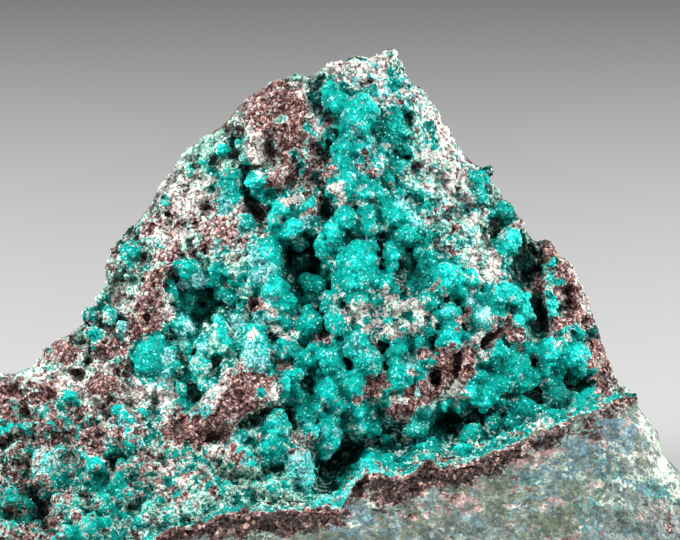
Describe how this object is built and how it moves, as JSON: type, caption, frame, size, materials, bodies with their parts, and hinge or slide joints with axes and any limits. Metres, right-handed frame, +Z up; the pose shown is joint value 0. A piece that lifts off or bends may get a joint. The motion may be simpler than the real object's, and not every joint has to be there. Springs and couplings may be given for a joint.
{
  "type": "chrysocolla with brochantite specimen",
  "caption": "Peak-shaped mineral specimen: brown gossan on a flat cut base, its hollow face lined with a teal botryoidal crust above a band of massive blue-grey chrysocolla.",
  "frame": {"origin": "centre of the flat base, on the surface that the specimen rests on", "axes": "+Z up towards the peak, -Y towards the viewer of the hollow face, +X to that viewer's right"},
  "size_m": [0.0592, 0.032, 0.0356],
  "materials": {
    "gossan": "rough broken limonite, granular, matt",
    "brochantite": "fine sparkling druse on botryoidal balls"
  },
  "bodies": {
    "root": {"matrix": "gossan", "brochantite_crust": "brochantite"}
  },
  "joints": []
}
